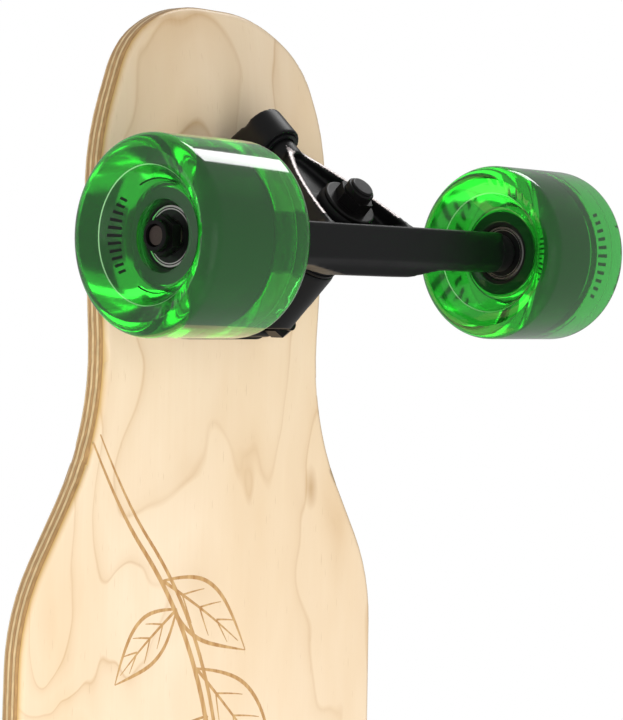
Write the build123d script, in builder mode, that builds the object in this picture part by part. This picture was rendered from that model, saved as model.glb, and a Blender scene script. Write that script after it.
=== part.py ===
"""A cut-away longboard: maple deck with grip tape, two reverse-kingpin trucks and four cast wheels.

Frame: +Z up, the wheels stand on Z = 0, X runs along the board, Y across it, and the origin is
under the middle of the board.  All lengths are millimetres.
"""
from build123d import *
import math
import os

os.makedirs("parts", exist_ok=True)

# ---------------------------------------------------------------- overall sizes
board_length = 980.0          # nose to tail
wheelbase = 790.0             # axle to axle
deck_thickness = 11.0         # eight plies of maple
deck_bottom = 114.0           # underside of the deck above the ground
neck_half_width = 62.4        # the waist between the wheels
nose_half_width = 65.6        # the slight swell ahead of the waist
nose_shoulder = 17.0          # nose tip back to the corner of the blunt nose
nose_swell = 57.0             # nose tip back to the swell
shoulder_half_width = 99.5    # where the flare ends
waist_half_width = 105.0      # half the width of the board at its middle
edge_round = 3.4              # rounded top and bottom edges of the deck
kick_radius = 220.0           # upward sweep of nose and tail
kick_length = 48.0            # nose tip back to the start of the sweep
tape_thickness = 0.8
tape_margin = 4.0             # bare wood left round the grip tape
riser_thickness = 3.0

# ---------------------------------------------------------------- truck sizes
wheel_radius = 35.0
wheel_width = 51.0
seat_angle = 44.0             # tilt of the bushing seat, square to the kingpin
steer_angle = 48.0            # steering axis, from the middle of the seat to the pivot
ring_reach = 19.5             # bushing seat to axle, along the seat
rake = 4.75                   # axle outward of the seat
hanger_half = 82.0            # half the width of the hanger
bar_half = 8.0                # half the section of the axle bar
bar_corner = 3.0              # chamfer along the axle bar
bar_edge = 0.8                # small chamfer along its ground side
bar_collar = 8.0              # turned length at each end of the bar
web_half = 3.0                # half the thickness of the web that carries the bushings
web_wall = 2.6                # wall round the pocket in the hanger
apex_reach = 36.0             # bushing seat to the top of the pocket rim
relief_radius = 17.6          # ball-shaped relief round the road side bushing
seat_hole = 9.0               # hole through the bushing seat
plate_thickness = 7.5
plate_inner_end = -36.5       # inner end of the base plate, from the axle
plate_outer_end = 40.0        # outer end of the base plate, from the axle
plate_half_width = 27.5
hole_inner = -31.0            # inner pair of mounting holes, from the axle
hole_pitch_long = 54.0
hole_pitch_wide = 41.3
plate_chamfer = 1.6
pad_corner = 8.0
riser_margin = 1.0            # riser pad beyond the base plate all round
wedge_half_width = 9.0        # block that holds the kingpin
knuckle_radius = 13.0         # round seat at its end
wedge_round = 2.5
wedge_chamfer = 1.4
steering_limit = 18.0         # degrees each way

# ---------------------------------------------------------------- kingpin stack, outward from the seat
kingpin_radius = 4.75
kingpin_depth = 16.0          # shank pressed into the base plate
kingpin_tail = 1.0            # pin beyond its nut
kingpin_round = 0.8
board_bushing_height = 16.0
road_bushing_height = 4.5
bushing_radius = 13.0
washer_thickness = 1.5
road_washer_radius = 11.2
board_washer_radius = 13.0
kingpin_nut_height = 7.5
kingpin_nut_flats = 13.0
kingpin_nut_hex = 4.5         # height of the hexagon, below the locking collar

# ---------------------------------------------------------------- pivot
nub_radius = 5.6
nub_tip = 4.2
boss_radius = 9.0
boss_start = 41.0
boss_end = 55.0
boss_round = 3.6
boss_block_half = 9.0         # half the block that carries the boss
boss_heel = 1.4               # the block beyond the boss, toward the end of the board
cup_wall = 1.3
cup_depth = 9.0
pivot_gap = 0.35              # nub to pivot cup

# ---------------------------------------------------------------- axle, bearings and wheels
axle_radius = 4.0
speed_ring = 1.2
speed_ring_radius = 5.6
bearing_width = 7.0
bearing_outer = 11.0
spacer_length = 10.0
spacer_radius = 5.4
race_inner_radius = 5.9       # outer radius of the inner race
race_outer_radius = 9.2       # inner radius of the outer race
race_chamfer = 0.4
ball_radius = 1.985
ball_pitch_radius = 7.5
ball_count = 7
ball_gap = 0.05               # running clearance of the balls in their grooves
shield_thickness = 0.3
cage_half_width = 0.8
cage_thickness = 0.5
cage_finger = 1.3             # fingers of the cage between the balls
shield_gap = 0.3
axle_nut_height = 6.5
axle_nut_flats = 12.7
axle_nut_hex = 3.8            # height of the hexagon, below the locking collar
nut_collar = 0.8              # collar of both locking nuts inside their flats
nut_collar_round = 0.7
core_radius = 17.0
core_edge = 0.5               # chamfer at the mouth of each bearing seat
stop_radius = 8.0             # hole through the rib between the bearings
bore_radius = 12.6            # opening of the urethane over the core
face_half = 14.5              # half the urethane between the flat rings round the bore
wheel_set = 1.4               # wheel centre outboard of the bearing centre
lip_radius = 5.3
dish_radius = 24.0
dish_slope = 18.0             # radius where the flat ring round the bore turns into the dish

# ---------------------------------------------------------------- hardware
bolt_radius = 2.4
bolt_head_radius = 4.6
bolt_head_height = 2.8
bolt_clearance = 0.35
nut_flats = 9.5
nut_height = 7.0
bolt_tail = 4.0               # bolt beyond its nut

# ---------------------------------------------------------------- derived places
tilt = math.radians(seat_angle)
seat_dir = Vector(math.cos(tilt), 0, math.sin(tilt))
king_dir = Vector(math.sin(tilt), 0, -math.cos(tilt))
turn = math.radians(steer_angle)
steer_dir = Vector(math.cos(turn), 0, math.sin(turn))
axle_point = Vector(0, 0, wheel_radius)
ring = axle_point + seat_dir * ring_reach - king_dir * rake
web_plane = Plane(origin=ring, x_dir=seat_dir, z_dir=king_dir)
side_of_steer = Plane(origin=ring, x_dir=steer_dir, z_dir=(0, -1, 0))
side_of_king = Plane(origin=ring, x_dir=king_dir, z_dir=(0, -1, 0))
steer_axis = Axis(ring, steer_dir)
king_axis = Axis(ring, king_dir)

plate_top = deck_bottom - riser_thickness
plate_bottom = plate_top - plate_thickness
road_washer_base = web_half + road_bushing_height
road_washer_top = road_washer_base + washer_thickness
board_washer_top = -web_half - board_bushing_height
king_seat = board_washer_top - washer_thickness
bearing_half = bearing_width / 2
bearing_centre = spacer_length / 2 + bearing_half
stack_start = hanger_half + speed_ring
stack_middle = stack_start + bearing_width + spacer_length / 2
stack_end = stack_middle + bearing_width + spacer_length / 2
nut_start = stack_end + speed_ring
axle_half = nut_start + axle_nut_height - 1.0
hole_middle = hole_inner + hole_pitch_long / 2

half_base = wheelbase / 2
nose_tip = board_length / 2
ends = (
    ("front", Location((half_base, 0, 0))),
    ("rear", Location((-half_base, 0, 0), (0, 0, 180))),
)


def save(piece, name, place=Location()):
    """Puts a finished piece in its place on the board and writes it."""
    placed = piece.part.moved(place)
    placed.label = name
    export_step(placed, f"parts/{name}.step")


def ring_profile(inner, outer, start, stop, edge=0.0):
    """A rectangle to be spun: radii on local Y, distance along the axis on local X."""
    with BuildSketch(mode=Mode.PRIVATE) as outline:
        with Locations(((start + stop) / 2, (inner + outer) / 2)):
            Rectangle(stop - start, outer - inner)
        if edge:
            chamfer(outline.vertices(), edge)
    return outline.sketch


# ================================================================ deck and grip tape
def deck_outline(inset=0.0):
    """Plan of the board: blunt nose, waist between the wheels, flare and broad middle."""
    corners = (
        (nose_tip, 24.0, 60.0),
        (nose_tip - nose_shoulder, 51.0, 40.0),
        (nose_tip - nose_swell, nose_half_width + 1.6, 100.0),
        (half_base - 71.0, neck_half_width - 1.8, 110.0),
        (half_base - 140.0, shoulder_half_width + 2.0, 80.0),
        (0.0, waist_half_width, 3000.0),
    )
    quarter = [(x, y) for x, y, radius in corners]
    half = quarter + [(-x, y) for x, y in reversed(quarter[:-1])]
    loop = half + [(x, -y) for x, y in reversed(half)]
    with BuildSketch(mode=Mode.PRIVATE) as plan:
        Polygon(*loop, align=None)
        for x, y, radius in corners:
            here = plan.vertices().filter_by(
                lambda v: abs(abs(v.X) - x) < 0.1 and abs(abs(v.Y) - y) < 0.1
            )
            fillet(here, radius)
        if inset:
            offset(amount=-inset, kind=Kind.ARC)
    return plan.sketch


sweep_start = nose_tip - kick_length
kick_centre = deck_bottom + kick_radius


def board_layer(bottom, thickness, inset, edge):
    """A layer of the board: level between the trucks, swept up on an arc at nose and tail."""
    low = kick_centre - bottom
    high = low - thickness
    reach = nose_tip + 5.0 - sweep_start
    with BuildPart() as layer:
        with BuildSketch(Plane.XZ):
            with BuildLine():
                for side in (-1, 1):
                    centre = (side * sweep_start, kick_centre)
                    turn = side * math.degrees(math.asin(reach / low))
                    lower = CenterArc(centre, low, -90, turn)
                    turn = side * math.degrees(math.asin(reach / high))
                    upper = CenterArc(centre, high, -90, turn)
                    Line(lower @ 1, upper @ 1)
                Line((-sweep_start, bottom), (sweep_start, bottom))
                Line((-sweep_start, bottom + thickness), (sweep_start, bottom + thickness))
            make_face()
        extrude(amount=2 * waist_half_width, both=True)
        with BuildSketch(Plane.XY):
            add(deck_outline(inset))
        extrude(amount=kick_centre, mode=Mode.INTERSECT)
        if edge:
            rims = layer.edges().filter_by(lambda e: abs((e % 0.5).Z) < 0.5)
            seams = rims.filter_by(
                lambda e: abs(abs(e.center().X) - sweep_start) < 0.1 and e.length > neck_half_width
            )
            fillet(rims - seams, edge)
    return layer.part


with BuildPart() as deck:
    add(board_layer(deck_bottom, deck_thickness, 0.0, edge_round))
    for end in (-1, 1):
        with BuildSketch(Plane.XY.offset(deck_bottom - 1)):
            with Locations((end * (half_base + hole_middle), 0)):
                with GridLocations(hole_pitch_long, hole_pitch_wide, 2, 2):
                    Circle(bolt_radius + bolt_clearance)
        extrude(amount=deck_thickness + 2, mode=Mode.SUBTRACT)
save(deck, "deck")

tape_inset = tape_margin + edge_round
with BuildPart() as grip_tape:
    add(board_layer(deck_bottom + deck_thickness, tape_thickness, tape_inset, 0.0))
    for end in (-1, 1):
        with BuildSketch(Plane.XY.offset(deck_bottom)):
            with Locations((end * (half_base + hole_middle), 0)):
                with GridLocations(hole_pitch_long, hole_pitch_wide, 2, 2):
                    Circle(bolt_head_radius + bolt_clearance)
        extrude(amount=deck_thickness * 2, mode=Mode.SUBTRACT)
save(grip_tape, "grip_tape")


# ================================================================ one truck, over its own axle
def mounting_holes(radius):
    """The four mounting holes of a truck, as a sketch on the ground plane."""
    with BuildSketch(mode=Mode.PRIVATE) as pattern:
        with Locations((hole_middle, 0)):
            with GridLocations(hole_pitch_long, hole_pitch_wide, 2, 2):
                Circle(radius)
    return pattern.sketch


def pad_outline(margin=0.0):
    """Plan of the base plate: a rounded rectangle, or one larger by a margin."""
    length = plate_outer_end - plate_inner_end + 2 * margin
    with BuildSketch(mode=Mode.PRIVATE) as pad:
        with Locations(((plate_outer_end + plate_inner_end) / 2, 0)):
            RectangleRounded(length, 2 * (plate_half_width + margin), pad_corner + margin)
    return pad.sketch


with BuildPart() as riser:
    with BuildSketch(Plane.XY.offset(plate_top)):
        add(pad_outline(riser_margin))
        add(mounting_holes(bolt_radius + bolt_clearance), mode=Mode.SUBTRACT)
    extrude(amount=riser_thickness)

seat_centre = ring + king_dir * king_seat
seat_low = seat_centre - seat_dir * (knuckle_radius - 2.0)
seat_high = seat_centre + seat_dir * (knuckle_radius - 2.0)
wedge_back = plate_inner_end + 4.0
wedge_nose = seat_high.X + 6.0
knuckle_length = 34.0         # the round seat runs this far back into the block

boss_mouth = ring + steer_dir * (boss_start + 1.0)
boss_back = ring + steer_dir * (boss_end - boss_round)
heel = boss_back.X + boss_heel
with BuildPart() as boss_block:
    with BuildSketch(Plane.XZ) as boss_side:
        with BuildLine():
            Polyline(
                (26.0, plate_top - 1),
                (31.0, plate_bottom - 7),
                (boss_mouth.X + 1.0, boss_mouth.Z + 1.5),
                (heel, boss_back.Z - 1.0),
                (heel, boss_back.Z + 5.0),
                (plate_outer_end + 1.0, plate_bottom),
                (plate_outer_end - 2.0, plate_top - 1),
                close=True,
            )
        make_face()
        fillet(boss_side.vertices().sort_by(Axis.X)[-2:], boss_round / 2)
    extrude(amount=boss_block_half, both=True)

with BuildPart() as baseplate:
    with BuildSketch(Plane.XY.offset(plate_bottom)):
        add(pad_outline())
    extrude(amount=plate_thickness)
    chamfer(baseplate.faces().sort_by(Axis.Z)[0].edges(), plate_chamfer)
    with BuildSketch(Plane.XZ) as wedge_side:
        with BuildLine():
            Polyline(
                (wedge_back, plate_top - 1),
                (wedge_back, plate_bottom - 6),
                (seat_low.X - 12.0, seat_low.Z + 12.5),
                (seat_low.X, seat_low.Z),
                (seat_high.X, seat_high.Z),
                (wedge_nose, plate_bottom - 3),
                (wedge_nose + 4, plate_top - 1),
                close=True,
            )
        make_face()
        fillet(wedge_side.vertices().filter_by(lambda v: v.Y < plate_bottom - 5), wedge_round)
    extrude(amount=wedge_half_width, both=True)
    with BuildPart(mode=Mode.PRIVATE) as knuckle:
        with BuildSketch(Plane(origin=seat_centre, x_dir=(0, 1, 0), z_dir=-king_dir)):
            Circle(knuckle_radius)
        extrude(amount=knuckle_length)
        with BuildSketch(Plane.XY.offset(seat_low.Z - knuckle_radius)):
            with Locations(((wedge_back + wedge_nose) / 2, 0)):
                Rectangle(wedge_nose - wedge_back, 2 * knuckle_radius)
        extrude(amount=plate_bottom + 1.0 - seat_low.Z + knuckle_radius, mode=Mode.INTERSECT)
    cheeks = baseplate.edges().filter_by(
        lambda e: abs(abs(e.center().Y) - wedge_half_width) < 0.01 and e.center().Z < plate_bottom - 1
    )
    chamfer(cheeks, wedge_chamfer)
    add(knuckle)
    with BuildSketch(Plane(origin=ring + steer_dir * boss_start, x_dir=(0, 1, 0), z_dir=steer_dir)):
        Circle(boss_radius)
    extrude(amount=boss_end - boss_start)
    boss_rims = baseplate.edges().filter_by(GeomType.CIRCLE)
    fillet(boss_rims.sort_by(lambda e: (e.center() - ring).dot(steer_dir))[-1], boss_round)
    add(boss_block)
    with BuildSketch(side_of_steer):
        add(ring_profile(0, nub_radius + pivot_gap + cup_wall, boss_start - 8, boss_start + cup_depth))
    revolve(axis=steer_axis, mode=Mode.SUBTRACT)
    with BuildSketch(side_of_king):
        add(ring_profile(0, kingpin_radius, king_seat - kingpin_depth, king_seat + 1))
    revolve(axis=king_axis, mode=Mode.SUBTRACT)
    with BuildSketch(Plane.XY.offset(plate_bottom - 1)):
        add(mounting_holes(bolt_radius + bolt_clearance))
    extrude(amount=plate_thickness + 2, mode=Mode.SUBTRACT)

with BuildPart() as pivot_cup:
    with BuildSketch(side_of_steer):
        with BuildLine():
            outer = nub_radius + pivot_gap + cup_wall
            inner = nub_radius + pivot_gap
            Polyline(
                (boss_start - 0.8, inner),
                (boss_start - 0.8, outer),
                (boss_start + cup_depth, outer),
                (boss_start + cup_depth, 0),
                (boss_start + cup_depth - cup_wall, 0),
                (boss_start + cup_depth - cup_wall, inner - 1.2),
                (boss_start + cup_depth - cup_wall - 1.2, inner),
                close=True,
            )
        make_face()
    revolve(axis=steer_axis)

with BuildPart() as kingpin:
    with BuildSketch(side_of_king):
        pin_end = road_washer_top + kingpin_nut_height + kingpin_tail
        add(ring_profile(0, kingpin_radius, king_seat - kingpin_depth, pin_end))
    revolve(axis=king_axis)
    pin_rims = kingpin.edges().filter_by(GeomType.CIRCLE)
    fillet(pin_rims.sort_by(lambda e: (e.center() - ring).dot(king_dir))[-1], kingpin_round)


def bushing(start, stop, start_radius, stop_radius):
    """A bushing on the kingpin, between two distances from the seat."""
    middle = (start + stop) / 2
    waist = (start_radius + stop_radius) / 2 + 0.5
    with BuildPart() as body:
        with BuildSketch(side_of_king):
            with BuildLine():
                Line((start, kingpin_radius), (start, start_radius))
                ThreePointArc((start, start_radius), (middle, waist), (stop, stop_radius))
                Line((stop, stop_radius), (stop, kingpin_radius))
                Line((stop, kingpin_radius), (start, kingpin_radius))
            make_face()
        revolve(axis=king_axis)
    return body


board_bushing = bushing(board_washer_top, -web_half, bushing_radius - 0.5, bushing_radius - 0.5)
road_bushing = bushing(web_half, road_washer_base, road_washer_radius + 0.3, road_washer_radius - 0.4)


def cup_washer(start, stop, radius, lip):
    """A steel washer; the lip turns toward the bushing."""
    with BuildPart() as body:
        with BuildSketch(side_of_king):
            add(ring_profile(kingpin_radius, radius, start, stop))
        revolve(axis=king_axis)
        rims = body.edges().filter_by(GeomType.CIRCLE).group_by(lambda e: e.radius)[-1]
        fillet(rims.sort_by(lambda e: lip * (e.center() - ring).dot(king_dir))[0], washer_thickness * 0.6)
    return body


board_washer = cup_washer(king_seat, board_washer_top, board_washer_radius, 1)
road_washer = cup_washer(road_washer_base, road_washer_top, road_washer_radius, -1)



def locking_nut(seat, flats, bore, hexagon, height):
    """A locking nut standing on a plane: a chamfered hexagon with a round collar above it."""
    with BuildPart() as body:
        with BuildSketch(seat):
            Circle(flats / 2 - nut_collar)
        extrude(amount=height)
        crown = body.faces().filter_by(GeomType.PLANE).sort_by(Axis(seat.origin, seat.z_dir))[-1]
        fillet(crown.edges(), nut_collar_round)
        with BuildPart(mode=Mode.PRIVATE) as collar_base:
            with BuildSketch(seat):
                RegularPolygon(flats / 2, 6, major_radius=False)
            extrude(amount=hexagon)
            with BuildSketch(seat):
                Circle(flats / 2 + nut_collar_round + hexagon)
            extrude(amount=hexagon, taper=45, mode=Mode.INTERSECT)
        add(collar_base)
        with BuildSketch(seat):
            Circle(bore)
        extrude(amount=height, mode=Mode.SUBTRACT)
    return body


nut_seat = Plane(origin=ring + king_dir * road_washer_top, x_dir=(0, 1, 0), z_dir=king_dir)
kingpin_nut = locking_nut(nut_seat, kingpin_nut_flats, kingpin_radius, kingpin_nut_hex, kingpin_nut_height)

# ---------------------------------------------------------------- hanger
bar_bottom = wheel_radius - bar_half
bar_top = wheel_radius + bar_half
rib_depth = 3.2               # swell on the inner side of the bar
rib_half = 38.0
web_foot = 19.5               # how far the web runs down into the bar
rim_low = Vector(bar_half + 1.0, 0, wheel_radius)
rim_high = ring + seat_dir * (apex_reach + 0.5) + king_dir * 1.6
rim_along = (rim_high - rim_low).normalized()
rim_plane = Plane(origin=rim_high, x_dir=(0, 1, 0), z_dir=Vector(0, -1, 0).cross(rim_along))


def web_outline(inset=0.0):
    """The three-cornered web, in the plane of the bushing seat."""
    with BuildSketch(mode=Mode.PRIVATE) as web:
        with BuildLine():
            left = ThreePointArc((apex_reach, 3.5), (10.7, 17.3), (-web_foot, 25.5))
            right = ThreePointArc((apex_reach, -3.5), (10.7, -17.3), (-web_foot, -25.5))
            Line(left @ 0, right @ 0)
            Line(left @ 1, right @ 1)
        make_face()
        fillet(web.vertices().filter_by(lambda v: v.X > 0), 2.8)
        if inset:
            offset(amount=-inset, kind=Kind.ARC)
    return web.sketch


with BuildPart() as hanger:
    with BuildSketch(web_plane.offset(-web_half)):
        add(web_outline())
    extrude(amount=26)
    split(bisect_by=rim_plane, keep=Keep.TOP)
    split(bisect_by=Plane.XY.offset(bar_bottom + 2.0), keep=Keep.TOP)
    with BuildSketch(web_plane.offset(web_half)) as pocket:
        add(web_outline(web_wall))
    extrude(amount=40, mode=Mode.SUBTRACT)
    with BuildSketch(Plane.XZ) as bar_side:
        with BuildLine():
            Polyline(
                (bar_half - bar_edge, bar_bottom),
                (bar_half, bar_bottom + bar_edge),
                (bar_half, bar_top - bar_corner),
                (bar_half - bar_corner, bar_top),
                (-bar_half + bar_corner, bar_top),
                (-bar_half, bar_top - bar_corner),
                (-bar_half, bar_bottom + bar_corner),
                (-bar_half + bar_corner, bar_bottom),
                close=True,
            )
        make_face()
    extrude(amount=hanger_half - bar_collar, both=True)
    for end in (-1, 1):
        collar = Plane(origin=(0, end * (hanger_half - bar_collar), wheel_radius), z_dir=(0, end, 0))
        with BuildSketch(collar):
            Circle(bar_half - 0.2)
        extrude(amount=bar_collar)
    with BuildSketch(Plane.XY.offset(bar_bottom + 3.0)) as rib:
        Polygon(
            (-bar_half + 1, rib_half),
            (-bar_half - 0.1, rib_half),
            (-bar_half - rib_depth, rib_half / 2),
            (-bar_half - rib_depth, -rib_half / 2),
            (-bar_half - 0.1, -rib_half),
            (-bar_half + 1, -rib_half),
            align=None,
        )
    extrude(amount=2 * bar_half - 4.0)
    with BuildSketch(side_of_steer):
        with BuildLine():
            tip_start = boss_start + cup_depth - cup_wall - pivot_gap
            Polyline(
                (apex_reach - 8, 0),
                (apex_reach - 8, nub_radius),
                (tip_start - 4.5, nub_radius),
                (tip_start - 0.8, nub_tip),
                (tip_start, nub_tip - 1.2),
                (tip_start, 0),
                close=True,
            )
        make_face()
    revolve(axis=steer_axis)
    with BuildSketch(side_of_king):
        with BuildLine():
            chord = math.sqrt(relief_radius**2 - web_half**2)
            Line((web_half, 0), (web_half, chord))
            RadiusArc((web_half, chord), (relief_radius, 0), relief_radius)
            Line((relief_radius, 0), (web_half, 0))
        make_face()
    revolve(axis=king_axis, mode=Mode.SUBTRACT)
    with BuildSketch(side_of_king):
        add(ring_profile(0, seat_hole, -web_half - 1, web_half + 1))
    revolve(axis=king_axis, mode=Mode.SUBTRACT)
    with BuildSketch(Plane(origin=(0, -hanger_half - 1, wheel_radius), z_dir=(0, 1, 0))):
        Circle(axle_radius)
    extrude(amount=2 * hanger_half + 2, mode=Mode.SUBTRACT)

with BuildPart() as axle:
    with BuildSketch(Plane(origin=(0, -axle_half, wheel_radius), z_dir=(0, 1, 0))):
        Circle(axle_radius)
    extrude(amount=2 * axle_half)
    chamfer(axle.edges().filter_by(GeomType.CIRCLE), 0.7)


def across(side, distance):
    """A plane across the axle, facing outward."""
    return Plane(origin=(0, side * distance, wheel_radius), x_dir=(1, 0, 0), z_dir=(0, side, 0))


with BuildPart() as speed_rings:
    for side in (-1, 1):
        for place in (hanger_half, stack_end):
            with BuildSketch(across(side, place)):
                Circle(speed_ring_radius)
                Circle(axle_radius, mode=Mode.SUBTRACT)
            extrude(amount=speed_ring)

with BuildPart() as axle_nuts:
    for side in (-1, 1):
        nut = locking_nut(across(side, nut_start), axle_nut_flats, axle_radius, axle_nut_hex, axle_nut_height)
        add(nut)

with BuildPart() as bearing_spacers:
    for side in (-1, 1):
        with BuildSketch(across(side, stack_middle - spacer_length / 2)):
            Circle(spacer_radius)
            Circle(axle_radius, mode=Mode.SUBTRACT)
        extrude(amount=spacer_length)


def race(side, centre, inner, outer, groove):
    """One race of a ball bearing, centred at a distance along the axle."""
    with BuildPart() as body:
        with BuildSketch(across(side, centre - bearing_half)):
            Circle(outer)
            Circle(inner, mode=Mode.SUBTRACT)
        extrude(amount=bearing_width)
        bore = body.edges().filter_by(GeomType.CIRCLE).filter_by(lambda e: abs(e.radius - inner) < 0.01)
        chamfer(bore, race_chamfer)
        with Locations(across(side, centre)):
            Torus(ball_pitch_radius, groove, mode=Mode.SUBTRACT)
    return body.part


groove = ball_radius + ball_gap
bearing_places = (stack_middle - bearing_centre, stack_middle + bearing_centre)

with BuildPart() as inner_races:
    for side in (-1, 1):
        for centre in bearing_places:
            add(race(side, centre, axle_radius, race_inner_radius, groove))

plate_face = plate_bottom
tape_top = deck_bottom + deck_thickness
with BuildPart() as bolts:
    with BuildSketch(Plane.XY.offset(plate_face - nut_height - bolt_tail)):
        add(mounting_holes(bolt_radius))
    extrude(amount=tape_top - plate_face + nut_height + bolt_tail)
    with BuildSketch(Plane.XY.offset(tape_top)):
        add(mounting_holes(bolt_head_radius))
    extrude(amount=bolt_head_height)
    chamfer(bolts.faces().sort_by(Axis.Z)[-4:].edges(), 1.0)
    with BuildSketch(Plane.XY.offset(tape_top + bolt_head_height)):
        with Locations((hole_middle, 0)):
            with GridLocations(hole_pitch_long, hole_pitch_wide, 2, 2):
                RegularPolygon(1.8, 6)
    extrude(amount=-1.6, mode=Mode.SUBTRACT)

with BuildPart() as nuts:
    with BuildSketch(Plane.XY.offset(plate_face - nut_height)):
        with Locations((hole_middle, 0)):
            with GridLocations(hole_pitch_long, hole_pitch_wide, 2, 2):
                RegularPolygon(nut_flats / 2, 6, major_radius=False)
                Circle(bolt_radius, mode=Mode.SUBTRACT)
    extrude(amount=nut_height)
    chamfer(nuts.faces().sort_by(Axis.Z)[:4].edges().filter_by(GeomType.LINE), 0.8)

truck_pieces = {
    "riser": riser,
    "baseplate": baseplate,
    "pivot_cup": pivot_cup,
    "kingpin": kingpin,
    "board_bushing": board_bushing,
    "road_bushing": road_bushing,
    "board_washer": board_washer,
    "road_washer": road_washer,
    "kingpin_nut": kingpin_nut,
    "hanger": hanger,
    "axle": axle,
    "speed_rings": speed_rings,
    "axle_nuts": axle_nuts,
    "bearing_spacers": bearing_spacers,
    "inner_races": inner_races,
    "mounting_bolts": bolts,
    "mounting_nuts": nuts,
}
for end, place in ends:
    for name, piece in truck_pieces.items():
        save(piece, f"{end}_{name}", place)

# ================================================================ one wheel
# it is built about the middle of its bearings: the hub line is local Z, and the outer face of the wheel is toward +Z
tread_half = wheel_width / 2
hub_half = bearing_centre + bearing_half + core_edge
lip_centre = wheel_radius - lip_radius
lip_middle = lip_radius * math.sqrt(0.5)

with BuildPart() as tyre:
    with BuildSketch(Plane.XZ) as tyre_side:
        with BuildLine():
            for end in (-1, 1):
                dish = Polyline(
                    (core_radius, 0),
                    (core_radius, end * hub_half),
                    (bore_radius, end * hub_half),
                    (bore_radius, wheel_set + end * face_half),
                    (dish_slope, wheel_set + end * (face_half + 0.3)),
                    (dish_radius - 1.5, wheel_set + end * (face_half + 5.0)),
                    (dish_radius, wheel_set + end * (face_half + 7.0)),
                    (lip_centre, wheel_set + end * tread_half),
                )
                lip = ThreePointArc(
                    dish @ 1,
                    (lip_centre + lip_middle, wheel_set + end * (tread_half - lip_radius + lip_middle)),
                    (wheel_radius, wheel_set + end * (tread_half - lip_radius)),
                )
                Line(lip @ 1, (wheel_radius, 0))
        make_face()
    revolve(axis=Axis.Z)

with BuildPart() as core:
    with BuildSketch(Plane.XZ):
        with BuildLine():
            Polyline(
                (stop_radius, spacer_length / 2),
                (bearing_outer, spacer_length / 2),
                (bearing_outer, hub_half - core_edge),
                (bearing_outer + core_edge, hub_half),
                (core_radius, hub_half),
                (core_radius, -hub_half),
                (bearing_outer + core_edge, -hub_half),
                (bearing_outer, core_edge - hub_half),
                (bearing_outer, -spacer_length / 2),
                (stop_radius, -spacer_length / 2),
                close=True,
            )
        make_face()
    revolve(axis=Axis.Z)

with BuildPart() as outer_races:
    for end in (-1, 1):
        with BuildSketch(Plane.XY.offset(end * bearing_centre - bearing_half)):
            Circle(bearing_outer)
            Circle(race_outer_radius, mode=Mode.SUBTRACT)
        extrude(amount=bearing_width)
        with Locations((0, 0, end * bearing_centre)):
            Torus(ball_pitch_radius, groove, mode=Mode.SUBTRACT)
    rims = outer_races.edges().filter_by(GeomType.CIRCLE).group_by(lambda e: e.radius)[-1]
    chamfer(rims, race_chamfer)

with BuildPart() as shields:
    for end in (-1, 1):
        face = end * (bearing_centre + bearing_half - 0.4) - shield_thickness / 2
        with BuildSketch(Plane.XY.offset(face)):
            Circle(race_outer_radius)
            Circle(race_inner_radius + shield_gap, mode=Mode.SUBTRACT)
        extrude(amount=shield_thickness)

with BuildPart() as balls:
    for end in (-1, 1):
        with Locations((0, 0, end * bearing_centre)):
            with PolarLocations(ball_pitch_radius, ball_count):
                Sphere(ball_radius)

with BuildPart() as cages:
    for end in (-1, 1):
        ring_start = end * (bearing_centre + ball_radius + ball_gap)
        with BuildSketch(Plane.XY.offset(ring_start)):
            Circle(ball_pitch_radius + cage_half_width)
            Circle(ball_pitch_radius - cage_half_width, mode=Mode.SUBTRACT)
        extrude(amount=end * cage_thickness)
        with BuildSketch(Plane.XY.offset(ring_start)):
            with PolarLocations(ball_pitch_radius, ball_count, start_angle=180 / ball_count):
                Rectangle(2 * cage_half_width, cage_finger)
        extrude(amount=-end * (ball_radius + 1.2))

wheel_pieces = {
    "tyre": tyre,
    "core": core,
    "outer_races": outer_races,
    "shields": shields,
    "balls": balls,
    "cages": cages,
}
for end, sign in (("front", 1), ("rear", -1)):
    for hand, side in (("left", 1), ("right", -1)):
        hub = Location((sign * half_base, side * stack_middle, wheel_radius), (-90 * side, 0, 0))
        for name, piece in wheel_pieces.items():
            save(piece, f"{end}_{hand}_{name}", hub)
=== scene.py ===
"""A cut-away longboard dressed for a studio picture.

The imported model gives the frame.  Each class below takes the places of its pieces from the CAD
nodes, builds the shapes that a machined solid can't show and gives every surface the finish of the
material it is made from.  Lengths are metres, +Z is up and X runs along the board.
"""
import logging
import math
from dataclasses import dataclass, field
from enum import Enum

import bmesh
import bpy
from mathutils import Matrix, Vector


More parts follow.
